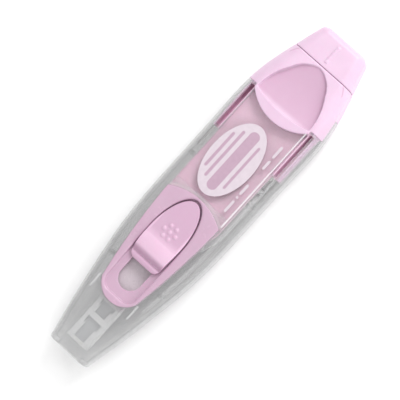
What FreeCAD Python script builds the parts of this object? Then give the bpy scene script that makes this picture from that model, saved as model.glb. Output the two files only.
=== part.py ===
import FreeCAD, Part
import math
import os

import Sketcher
from FreeCAD import Placement, Rotation, Vector
from fcgear import fcgear, involute

# A pen style correction tape roller with an eraser under its tail cap. All sizes are in millimetres.
# X runs along the pen from the nose (-X) to the tail (+X), Y runs across it, and +Z is the button side.
# The origin is under the middle of the pen, on the flat face that it rests on.
# A clear case holds a sliding cassette: a pink base and cover with two flat reels in line between them.
# The thumb button is fixed to the cassette and pushes its tape head out of the nose.

SIZES = [
    ("length", 132, "nose face to cap end"),
    ("wall", 1.3, "wall of the clear case"),
    ("tail_wall", 2.6, "wall of the pink tail"),
    ("floor", 1.3, "inner floor of the case above the rest face"),
    ("rail_y", 6.0, "distance of the floor's rails from the centre line"),
    ("rail_width", 1.0, "width of those rails"),
    ("rail_front", -30.0, "front of the rails"),
    ("rail_rear", 38.0, "rear of the rails"),
    ("rail_play", 0.1, "gap between the rails and the cassette"),
    ("parting", 8.2, "height of the joint between the case halves"),
    ("nose_wall", 1.5, "thickness of the nose face"),
    ("mouth_half", 4.3, "half width of the nose mouth"),
    ("mouth_low", 5.7, "lower edge of the nose mouth"),
    ("mouth_high", 11.3, "upper edge of the nose mouth"),
    ("shell_end", 45, "rear edge of the clear case"),
    ("spigot_start", 39, "front edge of the tail's spigot inside the case"),
    ("cap_seam", 54.9, "joint between tail and cap"),
    ("seam_gap", 0.1, "gap at the cap's joint"),
    ("cap_end_wall", 1.7, "thickness of the cap's end"),
    ("ridge_height", 0.35, "height of the ridge on the cap"),
    ("ridge_half", 0.4, "half width of that ridge"),
    ("edge_round", 1.0, "rounding of the nose face's edge"),
    ("seam_round", 0.3, "rounding of the cap's joint"),
    ("rim_round", 0.7, "rounding of the recess's rim"),
    ("cap_round", 2.4, "rounding of the cap end's edge"),
    ("panel_half", 10.75, "half width of the label panel"),
    ("panel_front", -0.8, "front of the label panel on the centre line"),
    ("panel_front_side", -3.9, "front of the label panel at its sides"),
    ("panel_rear", 31.4, "rear of the label panel on the centre line"),
    ("panel_rear_side", 35.7, "rear of the label panel at its sides"),
    ("panel_floor", 15.4, "top face of the label panel"),
    ("panel_thickness", 1.2, "thickness of the label panel"),
    ("panel_join", 16.0, "level up to which the panel's plate runs into the case's wall"),
    ("slot_front", 19.4, "front of the side slots"),
    ("slot_rear", 36.4, "rear of the side slots"),
    ("slot_inner", 11.2, "inner edge of the side slots"),
    ("slot_width", 1.9, "width of the side slots"),
    ("slot_low", 12.0, "level from which the side slots are cut upwards"),
    ("latch_front", 10.6, "front of the narrow slots ahead of them"),
    ("latch_rear", 18.0, "rear of the narrow slots"),
    ("latch_width", 0.8, "width of the narrow slots"),
    ("arm_front", 18.6, "front of the tail's arms"),
    ("arm_inner", 11.45, "inner side of the arms"),
    ("arm_outer", 14.4, "outer side of the arms"),
    ("arm_low", 8.6, "underside of the arms"),
    ("arm_high", 14.6, "top of the arms"),
    ("channel_inner", 11.9, "inner wall of the channel along each arm"),
    ("channel_outer", 13.4, "outer wall of that channel"),
    ("channel_floor", 9.3, "floor of that channel"),
    ("rib_front", -45.4, "front of the two ribs beside the bezel"),
    ("rib_rear", -40.2, "rear of those ribs"),
    ("rib_y", 8.05, "distance of the ribs from the centre line"),
    ("rib_width", 0.4, "width of the ribs"),
    ("rib_height", 0.25, "height of the ribs"),
    ("bezel_front", -45.0, "front point of the bezel"),
    ("bezel_nose", 8.0, "radius of the bezel's front"),
    ("bezel_waist_x", -26.0, "station where the bezel's sides are set"),
    ("bezel_waist_half", 9.4, "half width of the bezel there"),
    ("bezel_half", 11.0, "half width of the bezel's rear"),
    ("bezel_rear", -2.0, "rear of the bezel on the centre line"),
    ("bezel_rear_side", -5.3, "rear of the bezel at its sides"),
    ("bezel_low", 13.5, "underside of the bezel"),
    ("recess_floor", 14.4, "floor of the button's recess"),
    ("recess_front", -42.4, "front of the recess"),
    ("recess_rear", -2.9, "rear of the recess"),
    ("recess_half", 6.6, "half width of the recess"),
    ("recess_corner", 3.4, "radius of the recess's front corners"),
    ("window_front", -39.2, "front of the opening in the recess floor"),
    ("window_rear", -7.4, "rear of the opening in the recess floor"),
    ("window_half", 4.1, "half width of the opening in the recess floor"),
    ("button_front", -29.7, "front of the button"),
    ("button_rear", -3.7, "rear of the button"),
    ("button_half", 6.35, "half width of the button"),
    ("button_corner", 2.4, "radius of the button's front corners"),
    ("button_shoulder", 14.7, "length of the elliptical rear of button and recess"),
    ("button_low", 14.6, "underside of the button"),
    ("dot_x", -16.2, "middle of the button's grip dots"),
    ("dot_reach", 2.3, "distance of the outer dots from the middle one"),
    ("dot_radius", 0.9, "radius of the balls that form the dots"),
    ("dot_level", 16.3, "height of their middles"),
    ("peg_front", -13.4, "front of the button's peg"),
    ("peg_rear", -8.8, "rear of the peg"),
    ("peg_half", 2.4, "half width of the peg"),
    ("peg_low", 12.3, "foot of the peg"),
    ("rest_front", 35.3, "front of the thumb rest"),
    ("rest_side_x", 36.8, "station of the thumb rest's widest point"),
    ("rest_half", 11.0, "half width of the thumb rest"),
    ("rest_rear", 54.1, "rear point of the thumb rest"),
    ("rest_low", 14.1, "lowest level of the thumb rest"),
    ("rest_low_x", 48.0, "station of the lowest level"),
    ("rest_radius", 38.0, "radius of the thumb rest's hollow"),
    ("tongue_play", 0.4, "setback of the tongue's corners from the panel's"),
    ("tongue_half", 11.6, "half width of the tail's top tongue"),
    ("tongue_shoulder", 37.2, "station behind which the tail's top is as wide as the case"),
    ("tongue_low", 11.2, "lower edge of the tail's top where it lies on the case"),
    ("tape_width", 5.0, "width of the tape"),
    ("tape_level", 8.5, "height of the middle of the tape"),
    ("tape_thickness", 0.12, "thickness of a tape strand's solid"),
    ("reel_distance", 21.0, "distance between the reels' axes"),
    ("supply_x", 21.0, "axis of the full reel"),
    ("plate_low", 2.0, "underside of the cassette's base"),
    ("plate_thickness", 1.0, "thickness of the base"),
    ("cover_low", 12.1, "underside of the cassette's cover"),
    ("cover_thickness", 1.2, "thickness of the cover"),
    ("plate_half", 11.3, "half width of base and cover"),
    ("plate_front", -15.0, "front edge of base and cover"),
    ("plate_rear", 36.2, "rear edge of base and cover"),
    ("plate_taper", 8.0, "length over which base and cover widen"),
    ("plate_front_half", 9.0, "half width of base and cover at the front"),
    ("gear_low", 3.2, "underside of the gears"),
    ("gear_high", 5.0, "top of the gears"),
    ("flange_low", 5.1, "underside of the reels' lower flanges"),
    ("flange", 0.8, "thickness of the reels' flanges"),
    ("disc_low", 11.1, "underside of the reels' upper discs"),
    ("supply_flange_radius", 11.0, "radius of the full reel's flanges"),
    ("supply_core_radius", 4.0, "radius of the full reel's core"),
    ("supply_tape_radius", 10.5, "radius of the full roll of tape"),
    ("supply_axle_radius", 2.0, "radius of the full reel's axle"),
    ("takeup_flange_radius", 9.5, "radius of the take-up reel's flanges"),
    ("takeup_core_radius", 5.25, "radius of the take-up reel's core"),
    ("takeup_tape_radius", 5.6, "radius of the used carrier on it"),
    ("takeup_axle_radius", 1.6, "radius of the take-up reel's axle"),
    ("neck_radius", 3.0, "radius of the reels' necks in their discs"),
    ("running_gap", 0.06, "radial clearance of whatever turns on an axle"),
    ("gear_module", 0.7, "module of the gears"),
    ("supply_teeth", 30, "teeth of the full reel's gear"),
    ("takeup_teeth", 15, "teeth of the take-up reel's gear"),
    ("idler_teeth", 12, "teeth of the idler"),
    ("idler_axle_radius", 1.2, "radius of the idler's axle"),
    ("clutch_radius", 6.5, "radius of the slipping ring's middle line"),
    ("clutch_section", 0.5, "radius of the slipping ring's section"),
    ("clutch_groove", 1.2, "width of the groove that holds it"),
    ("clutch_level", 4.6, "height of the slipping ring"),
    ("tip_x", -60.6, "axis of the tip roller"),
    ("tip_radius", 1.1, "radius of the tip roller"),
    ("tip_pin_radius", 0.5, "radius of its pin"),
    ("tip_play", 0.08, "gap between the tip roller and the tape"),
    ("fence_inner", 2.75, "inner face of the head's fences"),
    ("fence_outer", 4.05, "outer face of the head's fences"),
    ("fence_reach", 1.1, "length of the fences ahead of the tip's axis"),
    ("fence_rear", -43.5, "rear end of the fences"),
    ("fence_half_height", 2.0, "half height of the fences"),
    ("spine_half_height", 0.75, "half height of the head's spine"),
    ("lip_inner", 2.05, "inner edge of the lips on the fences"),
    ("lip_low", 10.0, "underside of those lips"),
    ("bar_x", -52.8, "front of the bar across the fences"),
    ("bar_width", 2.0, "length of that bar along the head"),
    ("guard_low", 11.2, "underside of the head's top guard"),
    ("guard_high", 12.0, "top of the guard"),
    ("guard_front", -46.0, "front of the guard"),
    ("guard_rear", -11.2, "rear of the guard"),
    ("guard_taper", 14.0, "length over which the guard widens"),
    ("guard_half", 6.8, "half width of the guard at the rear"),
    ("guide_x", -13.0, "station of the guide posts"),
    ("guide_radius", 1.3, "radius of the guide posts"),
    ("feed_guide_y", 8.3, "guide post for the fresh tape"),
    ("return_guide_y", -3.6, "guide post for the used carrier"),
    ("plate_corner", 1.2, "rounding of the corners of base and cover"),
    ("pillar_radius", 1.0, "radius of the pillars between base and cover"),
    ("holder_front", 40.0, "front of the eraser's holder"),
    ("holder_rear", 58.4, "rear of the holder, which is the cap's spigot"),
    ("holder_half", 8.4, "half width of the holder"),
    ("holder_low", 3.6, "underside of the holder"),
    ("holder_high", 12.6, "top of the holder"),
    ("holder_wall", 1.3, "wall of the holder"),
    ("eraser_round", 1.2, "rounding of the eraser's free end"),
    ("eraser_rear", 63.4, "free end of the eraser"),
    ("cap_play", 0.1, "clearance of the cap on the holder"),
    ("boss_radius", 0.8, "radius of the case's joining pins"),
    ("badge_x", 14.0, "middle of the printed oval along the pen"),
    ("badge_y", 1.1, "middle of the printed oval across the pen"),
    ("badge_half_length", 13.8, "half length of the printed oval"),
    ("badge_half_width", 8.0, "half width of the printed oval"),
    ("print_thickness", 0.1, "thickness of the print"),
]

# The outer form: one row for each cross-section, a rounded rectangle.
# Each row has its station along X, half width, lower and upper level, and corner radius.
FORM = [
    ("nose", -66.0, 7.5, 4.0, 12.9, 2.6),
    ("muzzle", -58.0, 9.1, 2.9, 13.9, 3.2),
    ("shoulder", -50.0, 10.7, 1.9, 14.7, 3.8),
    ("throat", -40.0, 12.4, 0.8, 15.6, 4.4),
    ("breast", -25.0, 14.6, -0.2, 16.3, 5.0),
    ("middle", 0.0, 15.6, -0.5, 16.7, 5.4),
    ("belly", 22.0, 15.7, -0.5, 16.8, 5.4),
    ("hip", 38.0, 15.5, -0.4, 16.5, 5.2),
    ("waist", 47.5, 13.9, 0.3, 15.8, 4.8),
    ("seam", 54.6, 12.0, 1.2, 15.0, 4.2),
    ("cap", 66.0, 8.8, 2.6, 13.4, 3.4),
]
FORM_COLUMNS = ("x", "half", "low", "high", "corner")
FORM_LEAST_CORNER = 1.0

# Limits of the blocks that only trim other shapes: beyond the ends, the sides and the top of the pen.
ENDS = "80"
SIDES = "30"
ABOVE = "30"

# Joining pins of the case, two near the nose and two near the reels.
BOSSES = [("7.4", "13.2"), ("7.4", "-13.2"), ("-33", "10.7"), ("-33", "-10.7")]

# Pillars between the cassette's base and cover, clear of both reels and of the tape.
PILLARS = [("9.0", "8.4"), ("12.6", "-10.1"), ("32.0", "7.0"), ("32.0", "-7.0"), ("-13.0", "-8.0")]

# The button's top line, as distances behind its front and levels. Each group is the start, middle
# and end of one arc: the front step, the groove, the rise to the band, the band and the slope behind.
BUTTON_ARCS = [
    ((0.0, 15.5), (1.0, 15.8), (2.0, 15.75)),
    ((2.0, 15.75), (2.5, 15.75), (2.9, 16.05)),
    ((2.9, 16.05), (3.55, 16.9), (4.6, 17.4)),
    ((4.6, 17.4), (6.3, 17.54), (9.4, 17.15)),
    ((9.4, 17.15), (17.0, 16.7), (26.0, 16.2)),
]

# Half of the thumb rest's outline behind its widest point, as two arcs that meet at these points.
REST_FLANK = (42.6, 10.1)
REST_BEND = (48.2, 7.4)
REST_TURN = (52.2, 4.3)

# The two stretches of the fences that carry lips over the tape: front and rear stations.
LIPS = [("Sizes.tip_x - Sizes.fence_reach", "-55.3"), ("-52.8", "-47.8")]


# The gears' teeth: pressure angle, heights above and below the pitch line as shares of the module,
# the fillet at the root, and a backlash that thins them.
TOOTH = {"angle": 25.0, "tip": 0.8, "root": 1.05, "fillet": 0.2, "backlash": -0.08}

doc = FreeCAD.newDocument("CorrectionTapeRoller")
parts = []


def add_sheets():
    """Fills the Sizes sheet and the Form sheet, and gives every number an alias."""
    sizes = doc.addObject("Spreadsheet::Sheet", "Sizes")
    for row, (alias, value, note) in enumerate(SIZES, start=1):
        sizes.set(f"A{row}", note)
        sizes.set(f"B{row}", str(value))
        sizes.setAlias(f"B{row}", alias)
    form = doc.addObject("Spreadsheet::Sheet", "Form")
    for row, (name, *values) in enumerate(FORM, start=1):
        form.set(f"A{row}", name)
        for letter, column, value in zip("BCDEF", FORM_COLUMNS, values):
            form.set(f"{letter}{row}", str(value))
            form.setAlias(f"{letter}{row}", f"{name}_{column}")
    doc.recompute()
    return sizes, form


sizes, form = add_sheets()


def size(alias):
    return float(sizes.get(alias))


# Part workbench helpers. Every size is an expression on the sheets.


def box(name, low, high):
    """A block between two corners, each three expressions."""
    item = doc.addObject("Part::Box", name)
    for axis, side, start, end in zip("xyz", ("Length", "Width", "Height"), low, high):
        item.setExpression(f"Placement.Base.{axis}", start)
        item.setExpression(side, f"({end}) - ({start})")
    return item


def wide_box(name, x_low, x_high, half, z_low, z_high):
    """A block that is centred across the pen."""
    return box(name, (x_low, f"-({half})", z_low), (x_high, half, z_high))


def between(name, x_low, x_high, z_low="0", z_high=ABOVE):
    """A block wider than the pen, which trims it to two stations and two levels."""
    return wide_box(name, x_low, x_high, SIDES, z_low, z_high)


def upright(name, radius, z_low, z_high, x="0", y="0"):
    """A cylinder along Z."""
    item = doc.addObject("Part::Cylinder", name)
    item.setExpression("Radius", radius)
    item.setExpression("Height", f"({z_high}) - ({z_low})")
    for axis, value in zip("xyz", (x, y, z_low)):
        item.setExpression(f"Placement.Base.{axis}", value)
    return item


def crosswise(name, radius, half, x, z):
    """A cylinder along Y, centred across the pen."""
    item = doc.addObject("Part::Cylinder", name)
    item.Placement = Placement(Vector(), Rotation(Vector(1, 0, 0), -90))
    item.setExpression("Radius", radius)
    item.setExpression("Height", f"2 * ({half})")
    item.setExpression("Placement.Base.x", x)
    item.setExpression("Placement.Base.y", f"-({half})")
    item.setExpression("Placement.Base.z", z)
    return item


def fused(name, items):
    item = doc.addObject("Part::MultiFuse", name)
    item.Shapes = items
    item.Refine = True
    return item


def shared(name, items):
    item = doc.addObject("Part::MultiCommon", name)
    item.Shapes = items
    item.Refine = True
    return item


def less(name, base, tools):
    """The base with every tool cut out of it."""
    item = doc.addObject("Part::Cut", name)
    item.Base = base
    item.Tool = tools[0] if len(tools) == 1 else fused(f"{name}_tools", tools)
    item.Refine = True
    return item


def rounded(name, base, radius, wanted):
    """Rounds those edges of the base for which wanted(edge) is true."""
    doc.recompute()
    item = doc.addObject("Part::Fillet", name)
    item.Base = base
    edges = enumerate(base.Shape.Edges, start=1)
    item.Edges = [(index, radius, radius) for index, edge in edges if wanted(edge)]
    return item


def fixed_shape(name, shape):
    """A shape that no primitive makes. It is worked out from the sheets by its own function."""
    item = doc.addObject("Part::Feature", name)
    item.Shape = shape
    return item


def part(label, item):
    """Names an object as a sub-part of the pen."""
    item.Label = label
    parts.append(item)
    return item


# PartDesign helpers.


def new_body(label):
    body = doc.addObject("PartDesign::Body", label)
    part(label, body)
    return body


def new_sketch(body, name, role):
    sketch = body.newObject("Sketcher::SketchObject", name)
    plane = next(item for item in body.Origin.OriginFeatures if item.Role == role)
    sketch.AttachmentSupport = [(plane, "")]
    sketch.MapMode = "FlatFace"
    return sketch


def pin_down(sketch, geometry, point, across, up):
    """Ties one point to the sketch's origin by two expressions."""
    for kind, value in (("DistanceX", across), ("DistanceY", up)):
        index = sketch.addConstraint(Sketcher.Constraint(kind, -1, 1, geometry, point, 1.0))
        sketch.setExpression(f"Constraints[{index}]", value)


def polygon_sketch(body, name, role, corners):
    """A closed outline with straight sides. Each corner is a pair of expressions."""
    sketch = new_sketch(body, name, role)
    turns = [2 * math.pi * index / len(corners) for index in range(len(corners) + 1)]
    points = [Vector(math.cos(turn), math.sin(turn), 0) for turn in turns]
    for start, end in zip(points, points[1:]):
        sketch.addGeometry(Part.LineSegment(start, end))
    for index, (across, up) in enumerate(corners):
        following = (index + 1) % len(corners)
        sketch.addConstraint(Sketcher.Constraint("Coincident", index, 2, following, 1))
        pin_down(sketch, index, 1, across, up)
    return sketch


def circle_sketch(body, name, height, circles):
    """Circles on a level above the base plane. Each is a radius and a centre, as expressions."""
    sketch = new_sketch(body, name, "XY_Plane")
    sketch.setExpression(".AttachmentOffset.Base.z", height)
    for radius, x, y in circles:
        circle = sketch.addGeometry(Part.Circle(Vector(1, 1, 0), Vector(0, 0, 1), 1))
        index = sketch.addConstraint(Sketcher.Constraint("Radius", circle, 1.0))
        sketch.setExpression(f"Constraints[{index}]", radius)
        pin_down(sketch, circle, 3, x, y)
    return sketch


def revolved(label, corners, x):
    """A body turned about a vertical axis at x. Its half section is given as (radius, level)."""
    body = new_body(label)
    sketch = polygon_sketch(body, f"{label}_section", "XZ_Plane", corners)
    turned = body.newObject("PartDesign::Revolution", f"{label}_turned")
    turned.Profile = sketch
    turned.ReferenceAxis = (sketch, ["V_Axis"])
    turned.Angle = 360
    body.setExpression("Placement.Base.x", x)
    return body


def padded(body, sketch, length):
    pad = body.newObject("PartDesign::Pad", f"{sketch.Name}_pad")
    pad.Profile = sketch
    pad.setExpression("Length", length)
    return pad


def pocketed(body, sketch):
    """Cuts a sketch right through, both ways."""
    pocket = body.newObject("PartDesign::Pocket", f"{sketch.Name}_pocket")
    pocket.Profile = sketch
    pocket.Type = 1
    pocket.Midplane = True
    return pocket


def rounded_upright_edges(body, feature, radius):
    doc.recompute()
    edges = feature.Shape.Edges
    upright_edges = [
        f"Edge{index}"
        for index, edge in enumerate(edges, start=1)
        if abs(edge.tangentAt(edge.FirstParameter).z) > 0.999 and edge.BoundBox.ZLength > 0.5
    ]
    fillet = body.newObject("PartDesign::Fillet", f"{feature.Name}_round")
    fillet.Base = (feature, upright_edges)
    fillet.setExpression("Radius", radius)
    return fillet


# The outer form of the pen, and the spaces inside it.


def section_wire(x, half, low, high, corner):
    """A rounded rectangle in the plane at x: four straights and four quarter arcs."""
    slant = corner * (1 - math.sqrt(0.5))
    edges = []
    for side, level in ((1, 1), (-1, 1), (-1, -1), (1, -1)):
        y = side * half
        z = high if level > 0 else low
        above = Vector(x, y, z - level * corner)
        beside = Vector(x, y - side * corner, z)
        middle = Vector(x, y - side * slant, z - level * slant)
        ends = (above, beside) if side == level else (beside, above)
        edges.append(Part.Arc(ends[0], middle, ends[1]).toShape())
    loop = []
    for edge, following in zip(edges, edges[1:] + edges[:1]):
        loop.append(edge)
        loop.append(Part.LineSegment(edge.lastVertex().Point, following.firstVertex().Point).toShape())
    return Part.Wire(loop)


def form_loft(inset):
    """The form, drawn in by a wall's thickness."""
    wires = []
    for name, *_ in FORM:
        x, half, low, high, corner = (float(form.get(f"{name}_{column}")) for column in FORM_COLUMNS)
        corner = max(corner - inset, FORM_LEAST_CORNER)
        wires.append(section_wire(x, half - inset, low + inset, high - inset, corner))
    return Part.makeLoft(wires, True, False)


def flat_outline(name, edges):
    """A flat face at level 0, bounded by edges that follow each other."""
    return fixed_shape(name, Part.Face(Part.Wire(edges)))


def raised(name, outline, z_low, z_high):
    """An outline made into an upright block between two levels."""
    item = doc.addObject("Part::Extrusion", name)
    item.Base = outline
    item.Dir = Vector(0, 0, 1)
    item.Solid = True
    item.setExpression("LengthFwd", f"({z_high}) - ({z_low})")
    item.setExpression("Placement.Base.z", z_low)
    return item


def line(start, end):
    return Part.LineSegment(Vector(*start, 0), Vector(*end, 0)).toShape()


def arc(start, middle, end):
    return Part.Arc(Vector(*start, 0), Vector(*middle, 0), Vector(*end, 0)).toShape()


def bowed_outline(name, front, front_side, rear, rear_side, half):
    """Straight sides, a front edge that bows back and a rear edge that bows forward."""
    return flat_outline(name, [
        arc((front_side, -half), (front, 0), (front_side, half)),
        line((front_side, half), (rear_side, half)),
        arc((rear_side, half), (rear, 0), (rear_side, -half)),
        line((rear_side, -half), (front_side, -half)),
    ])


def panel_outline():
    names = ("panel_front", "panel_front_side", "panel_rear", "panel_rear_side", "panel_half")
    return bowed_outline("panel_outline", *(size(name) for name in names))


def mirrored(points):
    """A half outline at +Y, followed by its mirror image from the last point back to the first."""
    return points + [(x, -y) for x, y in reversed(points)]


def tongue_outline():
    """The tail's top: its front edge follows the rear of the panel, and behind the slots it is wide."""
    half = size("tongue_half")
    side = size("panel_rear_side") + size("tongue_play")
    shoulder = size("tongue_shoulder")
    back = size("cap_seam")
    wide = float(SIDES)
    corners = mirrored([(side, half), (shoulder, half), (shoulder, wide), (back, wide)])
    edges = [line(*ends) for ends in zip(corners, corners[1:])]
    front = arc((side, -half), (size("panel_rear"), 0), (side, half))
    return flat_outline("tongue_outline", [front, *edges])


def bezel_outline():
    """A blunt point in front, widening to the rear, with a rear edge that bows back."""
    radius = size("bezel_nose")
    tip = size("bezel_front")
    half = size("bezel_half")
    waist = (size("bezel_waist_x"), size("bezel_waist_half"))
    turn = math.radians(65)
    start = (tip + radius * (1 - math.cos(turn)), radius * math.sin(turn))
    corner = (size("bezel_rear_side"), half)
    return flat_outline("bezel_outline", [
        arc((start[0], -start[1]), (tip, 0), start),
        arc(start, waist, corner),
        arc(corner, (size("bezel_rear"), 0), (corner[0], -half)),
        arc((corner[0], -half), (waist[0], -waist[1]), (start[0], -start[1])),
    ])


def round_ended(name, front, rear, half):
    return flat_outline(name, [
        arc((front + half, -half), (front, 0), (front + half, half)),
        line((front + half, half), (rear - half, half)),
        arc((rear - half, half), (rear, 0), (rear - half, -half)),
        line((rear - half, -half), (front + half, -half)),
    ])


def thumb_outline(kind, flare):
    """The plan of the button or its recess: a straight front with round corners, half an ellipse behind."""
    front = size(f"{kind}_front")
    rear = size(f"{kind}_rear")
    half = size(f"{kind}_half")
    corner = size(f"{kind}_corner")
    shoulder = rear - size("button_shoulder")
    side = half - flare
    slant = corner * (1 - math.sqrt(0.5))
    middle = ((front + corner + shoulder) / 2, half - flare / 4)
    ellipse = Part.Ellipse(Vector(shoulder, 0, 0), rear - shoulder, half)
    quarter = math.pi / 2
    return flat_outline(f"{kind}_outline", [
        arc((front + corner, -side), (front + slant, slant - side), (front, corner - side)),
        line((front, corner - side), (front, side - corner)),
        arc((front, side - corner), (front + slant, side - slant), (front + corner, side)),
        arc((front + corner, side), middle, (shoulder, half)),
        Part.ArcOfEllipse(ellipse, -quarter, quarter).toShape(),
        arc((shoulder, -half), (middle[0], -middle[1]), (front + corner, -side)),
    ])


def rest_outline():
    """The thumb rest: nearly straight in front, and drawn in to a round point behind."""
    front = size("rest_front")
    side = (size("rest_side_x"), size("rest_half"))
    back = (size("rest_rear"), 0)
    below = [(x, -y) for x, y in (side, REST_FLANK, REST_BEND, REST_TURN)]
    return flat_outline("rest_outline", [
        arc(below[0], (front, 0), side),
        arc(side, REST_FLANK, REST_BEND),
        arc(REST_BEND, REST_TURN, back),
        arc(back, below[3], below[2]),
        arc(below[2], below[1], below[0]),
    ])


def form_solids():
    """The outer form with its flat rest face, the case's inside and the tail's inside."""
    outer_loft = fixed_shape("outer_loft", form_loft(0))
    above_rest = between("above_rest", f"-{ENDS}", ENDS, "0", ABOVE)
    outer = shared("outer_form", [outer_loft, above_rest])
    inner_loft = fixed_shape("inner_loft", form_loft(size("wall")))
    inner_room = between(
        "inner_room", "-Sizes.length / 2 + Sizes.nose_wall", "Sizes.cap_seam", "Sizes.floor",
    )
    inner = shared("inner_form", [inner_loft, inner_room])
    tail_loft = fixed_shape("tail_loft", form_loft(size("tail_wall")))
    tail_room = between(
        "tail_room", "Sizes.panel_rear - 2", "Sizes.cap_seam - Sizes.nose_wall", "Sizes.floor + 0.7",
    )
    tail_inner = shared("tail_inner", [tail_loft, tail_room])
    return outer, inner, tail_inner


# The fixed parts of the case.


def case_bosses(name, z_low, z_high):
    return [
        upright(f"{name}_{number}", "Sizes.boss_radius", z_low, z_high, x, y)
        for number, (x, y) in enumerate(BOSSES)
    ]


def beside(name, side, x_low, x_high, inner, outer, z_low, z_high):
    """A block on one side of the pen, between two distances from the centre line."""
    near = inner if side > 0 else f"-({outer})"
    far = outer if side > 0 else f"-({inner})"
    return box(name, (x_low, near, z_low), (x_high, far, z_high))


def make_slots():
    """The wide side slots, and the narrow ones ahead of them, over the channels of the tail's arms."""
    outer = "Sizes.slot_inner + Sizes.slot_width"
    narrow = "Sizes.slot_inner + Sizes.slot_width - Sizes.latch_width"
    slots = []
    for side in (-1, 1):
        slots.append(beside(
            f"slot_{side}", side, "Sizes.slot_front", "Sizes.slot_rear", "Sizes.slot_inner", outer,
            "Sizes.slot_low", ABOVE,
        ))
        slots.append(beside(
            f"latch_{side}", side, "Sizes.latch_front", "Sizes.latch_rear", narrow, outer,
            "Sizes.slot_low", ABOVE,
        ))
    return slots


def make_ribs():
    """Two short ribs on the case, one each side of the bezel's front."""
    swollen = fixed_shape("rib_loft", form_loft(-size("rib_height")))
    inner = "Sizes.rib_y - Sizes.rib_width / 2"
    outer = "Sizes.rib_y + Sizes.rib_width / 2"
    ribs = [
        beside(f"rib_{side}", side, "Sizes.rib_front", "Sizes.rib_rear", inner, outer, "14.5", ABOVE)
        for side in (-1, 1)
    ]
    return shared("ribs", [swollen, fused("rib_pair", ribs)])


def make_rails():
    """Two low rails on the case's floor, which the cassette slides on."""
    top = "Sizes.plate_low - Sizes.rail_play"
    rails = []
    for side in (-1, 1):
        low = f"{side} * Sizes.rail_y - Sizes.rail_width / 2"
        high = f"{side} * Sizes.rail_y + Sizes.rail_width / 2"
        rails.append(box(
            f"rail_{side}", ("Sizes.rail_front", low, "Sizes.floor - 0.2"), ("Sizes.rail_rear", high, top),
        ))
    return rails


def make_panel(outer):
    """The label panel's plate, which reaches into the case's wall on every side."""
    ends = (
        size("bezel_rear") - 1, size("bezel_rear_side") - 1,
        size("panel_rear") + 1, size("panel_rear_side") + 1,
    )
    outline = bowed_outline("plate_outline", *ends, size("slot_inner"))
    bottom = "Sizes.panel_floor - Sizes.panel_thickness"
    return shared("panel_plate", [raised("plate_block", outline, bottom, "Sizes.panel_join"), outer])


def make_shells(outer, inner, bezel_block, panel, tongue):
    mouth = wide_box(
        "mouth", "-Sizes.length / 2 - 5", "-Sizes.length / 2 + 5",
        "Sizes.mouth_half", "Sizes.mouth_low", "Sizes.mouth_high",
    )
    front = -size("length") / 2
    body = rounded(
        "nose_rounded", outer, size("edge_round"), lambda edge: edge.BoundBox.XMax < front + 0.01,
    )
    hollow = less("case_wall", body, [inner, mouth])

    lower_half = between("lower_half", f"-{ENDS}", "Sizes.shell_end", "0", "Sizes.parting")
    lower_wall = shared("lower_wall", [hollow, lower_half])
    lower_bosses = case_bosses("lower_boss", "Sizes.floor - 0.2", "Sizes.parting")
    part("shell_lower", fused("shell_lower", [lower_wall, *make_rails(), *lower_bosses]))

    upper_half = between("upper_half", f"-{ENDS}", "Sizes.shell_end", "Sizes.parting")
    upper_wall = shared("upper_wall", [hollow, upper_half])
    upper_bosses = case_bosses("upper_boss", "Sizes.parting", "Sizes.panel_floor - 0.9")
    bossed = shared("upper_bosses", [fused("upper_pins", upper_bosses), outer])
    joined = fused("upper_joined", [upper_wall, make_panel(outer), bossed, make_ribs()])
    above_panel = raised("above_panel", panel, "Sizes.panel_floor", ABOVE)
    tongue_room = raised("tongue_room", tongue, "Sizes.tongue_low", ABOVE)
    part("shell_upper", less("shell_upper", joined, [above_panel, bezel_block, tongue_room, *make_slots()]))


def lies_over(outline, level):
    """Picks the edges above a level whose middles stand over an outline."""
    wire = outline.Shape.OuterWire

    def wanted(edge):
        middle = edge.valueAt((edge.FirstParameter + edge.LastParameter) / 2)
        beside = Part.Vertex(middle.x, middle.y, 0).distToShape(wire)[0]
        return beside < 0.01 and edge.BoundBox.ZMin > level

    return wanted


def make_bezel(outer, bezel_block):
    recess = thumb_outline("recess", 0.4)
    recess_block = raised("recess_block", recess, "Sizes.recess_floor", ABOVE)
    window = round_ended("window_outline", size("window_front"), size("window_rear"), size("window_half"))
    window_block = raised("window_block", window, "Sizes.bezel_low - 1", ABOVE)
    frame = shared("bezel_frame", [bezel_block, outer])
    sharp = less("bezel_sharp", frame, [recess_block, window_block])
    rim = lies_over(recess, size("recess_floor") + 0.5)
    part("slider_bezel", rounded("slider_bezel", sharp, size("rim_round"), rim))


def is_outer_ring(edge, x):
    """Whether an edge lies in the cross-section at x and outside the eraser's holder."""
    bounds = edge.BoundBox
    aside = abs(edge.CenterOfMass.y) > size("holder_half") + 1
    below = bounds.ZMax < size("holder_low") - 1
    above = bounds.ZMin > size("holder_high") + 1
    return abs(bounds.XMin - x) < 0.01 and abs(bounds.XMax - x) < 0.01 and (aside or below or above)


def make_arms(inner):
    """Two arms of the tail that run forward under the side slots, each with a channel along it."""
    blocks = []
    channels = []
    for side in (-1, 1):
        blocks.append(beside(
            f"arm_{side}", side, "Sizes.arm_front", "Sizes.spigot_start + 2",
            "Sizes.arm_inner", "Sizes.arm_outer", "Sizes.arm_low", "Sizes.arm_high",
        ))
        channels.append(beside(
            f"channel_{side}", side, "Sizes.arm_front - 1", "Sizes.slot_rear",
            "Sizes.channel_inner", "Sizes.channel_outer", "Sizes.channel_floor", ABOVE,
        ))
    return less("arms", shared("arm_blocks", [fused("arm_pair", blocks), inner]), channels)


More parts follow.
